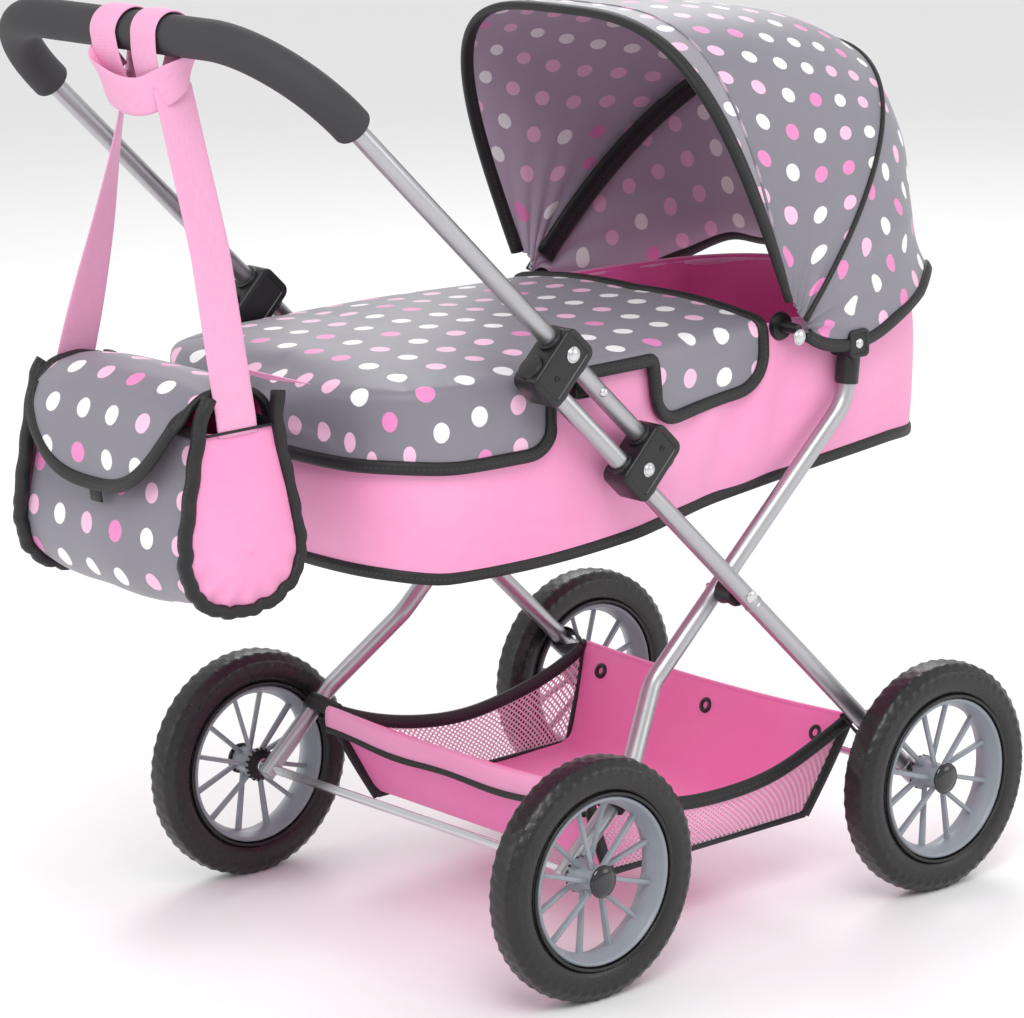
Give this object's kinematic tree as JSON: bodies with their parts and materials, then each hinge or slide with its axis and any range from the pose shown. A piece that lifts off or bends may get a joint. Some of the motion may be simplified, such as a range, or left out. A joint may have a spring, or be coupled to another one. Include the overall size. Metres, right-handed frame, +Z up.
{
  "type": "doll stroller",
  "caption": "Folding doll pram: crossed tube frame on spoked wheels, telescoping handle with bag, soft carrycot with folding hood and cover, net basket.",
  "frame": {"origin": "middle of the whole pram in plan, on the ground plane under the wheels", "axes": "+X from the handle end to the hood end, +Y to the left of the pram, +Z up"},
  "size_m": [0.664, 0.365, 0.603],
  "materials": {
    "tube": "satin silver tube",
    "steel": "plated rivets, pins and rods",
    "black_plastic": "moulded black plastic, light satin",
    "gloss_cap": "glossy black cap",
    "rim_plastic": "blue-grey moulded rim",
    "tyre_foam": "black moulded foam with tread studs",
    "grip_foam": "soft dark grey foam sleeve",
    "pink_cloth": "light pink woven nylon",
    "dotted_cloth": "grey nylon printed with white and pink dots",
    "pink_webbing": "folded pink cloth strap",
    "black_binding": "black bias binding",
    "black_mesh": "open net",
    "board": "deep pink lined floor board"
  },
  "bodies": {
    "front_frame": {"axle_front": "steel", "front_leg_L": "tube", "front_leg_R": "tube", "upper_clamp_L": "black_plastic", "upper_clamp_R": "black_plastic", "upper_clamp_rivet_L": "steel", "upper_clamp_rivet_R": "steel", "pivot_spacer_L": "black_plastic", "pivot_spacer_R": "black_plastic", "cross_pin_L": "steel", "cross_pin_R": "steel", "basket": "pink_cloth", "basket_strap_front_L": "black_binding", "basket_strap_front_R": "black_binding"},
    "rear_frame": {"axle_rear": "steel", "rear_leg_L": "tube", "rear_leg_R": "tube", "leg_cap_L": "black_plastic", "leg_cap_R": "black_plastic", "basket_strap_rear_L": "black_binding", "basket_strap_rear_R": "black_binding"},
    "handle": {"handle_tube": "tube", "handle_grip": "grip_foam", "lower_clamp_L": "black_plastic", "lower_clamp_R": "black_plastic", "lower_clamp_rivet_L": "steel", "lower_clamp_rivet_R": "steel"},
    "lock_button_left": {"lock_button_L": "steel"},
    "lock_button_right": {"lock_button_R": "steel"},
    "cot": {"cot_body": "pink_cloth", "cot_board": "board", "mattress": "pink_cloth", "cover": "dotted_cloth", "canopy": "dotted_cloth", "foot_hook_L": "black_plastic", "foot_hook_R": "black_plastic", "cot_bracket_L": "black_plastic", "cot_bracket_R": "black_plastic", "hood_pivot_L": "black_plastic", "hood_pivot_R": "black_plastic"},
    "hood_front": {"hood_front_bow": "steel"},
    "hood_mid": {"hood_mid_bow": "steel"},
    "bag": {"bag_body": "dotted_cloth", "bag_strap_L": "pink_webbing", "bag_strap_R": "pink_webbing", "bag_hitch": "pink_webbing"},
    "bag_lid": {"bag_flap": "dotted_cloth"},
    "wheel_front_L": {"tyre_front_L": "tyre_foam", "rim_front_L": "rim_plastic", "hub_cap_front_L": "gloss_cap"},
    "wheel_front_R": {"tyre_front_R": "tyre_foam", "rim_front_R": "rim_plastic", "hub_cap_front_R": "gloss_cap"},
    "wheel_rear_L": {"tyre_rear_L": "tyre_foam", "rim_rear_L": "rim_plastic", "hub_cap_rear_L": "gloss_cap"},
    "wheel_rear_R": {"tyre_rear_R": "tyre_foam", "rim_rear_R": "rim_plastic", "hub_cap_rear_R": "gloss_cap"}
  },
  "joints": [
    {"name": "wheel_front_L_spin", "type": "hinge", "parent": "front_frame", "child": "wheel_front_L", "pos_m": [0.1982, 0, 0.07477], "axis": [0, 1, 0], "continuous": true},
    {"name": "wheel_front_R_spin", "type": "hinge", "parent": "front_frame", "child": "wheel_front_R", "pos_m": [0.1982, 0, 0.07477], "axis": [0, 1, 0], "continuous": true},
    {"name": "wheel_rear_L_spin", "type": "hinge", "parent": "rear_frame", "child": "wheel_rear_L", "pos_m": [-0.0948, 0, 0.07477], "axis": [0, 1, 0], "continuous": true},
    {"name": "wheel_rear_R_spin", "type": "hinge", "parent": "rear_frame", "child": "wheel_rear_R", "pos_m": [-0.0948, 0, 0.07477], "axis": [0, 1, 0], "continuous": true},
    {"name": "frame_fold", "type": "hinge", "parent": "front_frame", "child": "rear_frame", "pos_m": [0.0552, 0, 0.2168], "axis": [0, -1, 0], "range_deg": [0, 40], "deforming": ["basket"]},
    {"name": "cot_tilt", "type": "hinge", "parent": "rear_frame", "child": "cot", "pos_m": [0.1727, 0, 0.355], "axis": [0, 1, 0], "range_deg": [0, 88]},
    {"name": "handle_height", "type": "slide", "parent": "front_frame", "child": "handle", "axis": [-0.7071, 0, 0.7071], "range_m": [0, 0.055]},
    {"name": "lock_button_left_press", "type": "slide", "parent": "handle", "child": "lock_button_left", "axis": [0, -1, 0], "range_m": [0, 0.0018], "stiffness_N_per_m": 400, "springref_m": -0.001},
    {"name": "lock_button_right_press", "type": "slide", "parent": "handle", "child": "lock_button_right", "axis": [0, 1, 0], "range_m": [0, 0.0018], "stiffness_N_per_m": 400, "springref_m": -0.001},
    {"name": "hood_fold", "type": "hinge", "parent": "cot", "child": "hood_front", "pos_m": [0.1187, 0, 0.372], "axis": [0, 1, 0], "range_deg": [0, 75], "deforming": ["canopy"]},
    {"name": "hood_mid_fold", "type": "hinge", "parent": "cot", "child": "hood_mid", "pos_m": [0.1187, 0, 0.372], "axis": [0, 1, 0], "range_deg": [0, 30]},
    {"name": "bag_swing", "type": "hinge", "parent": "handle", "child": "bag", "pos_m": [-0.28725, 0, 0.58853], "axis": [0, 1, 0], "range_deg": [-5, 30]},
    {"name": "bag_flap_lift", "type": "hinge", "parent": "bag", "child": "bag_lid", "pos_m": [-0.2558, 0, 0.3715], "axis": [0, 1, 0], "range_deg": [0, 20]}
  ],
  "couplings": [
    {"joint": "cot_tilt", "follows": "frame_fold", "ratio": 2.2},
    {"joint": "hood_mid_fold", "follows": "hood_fold", "ratio": 0.4}
  ]
}
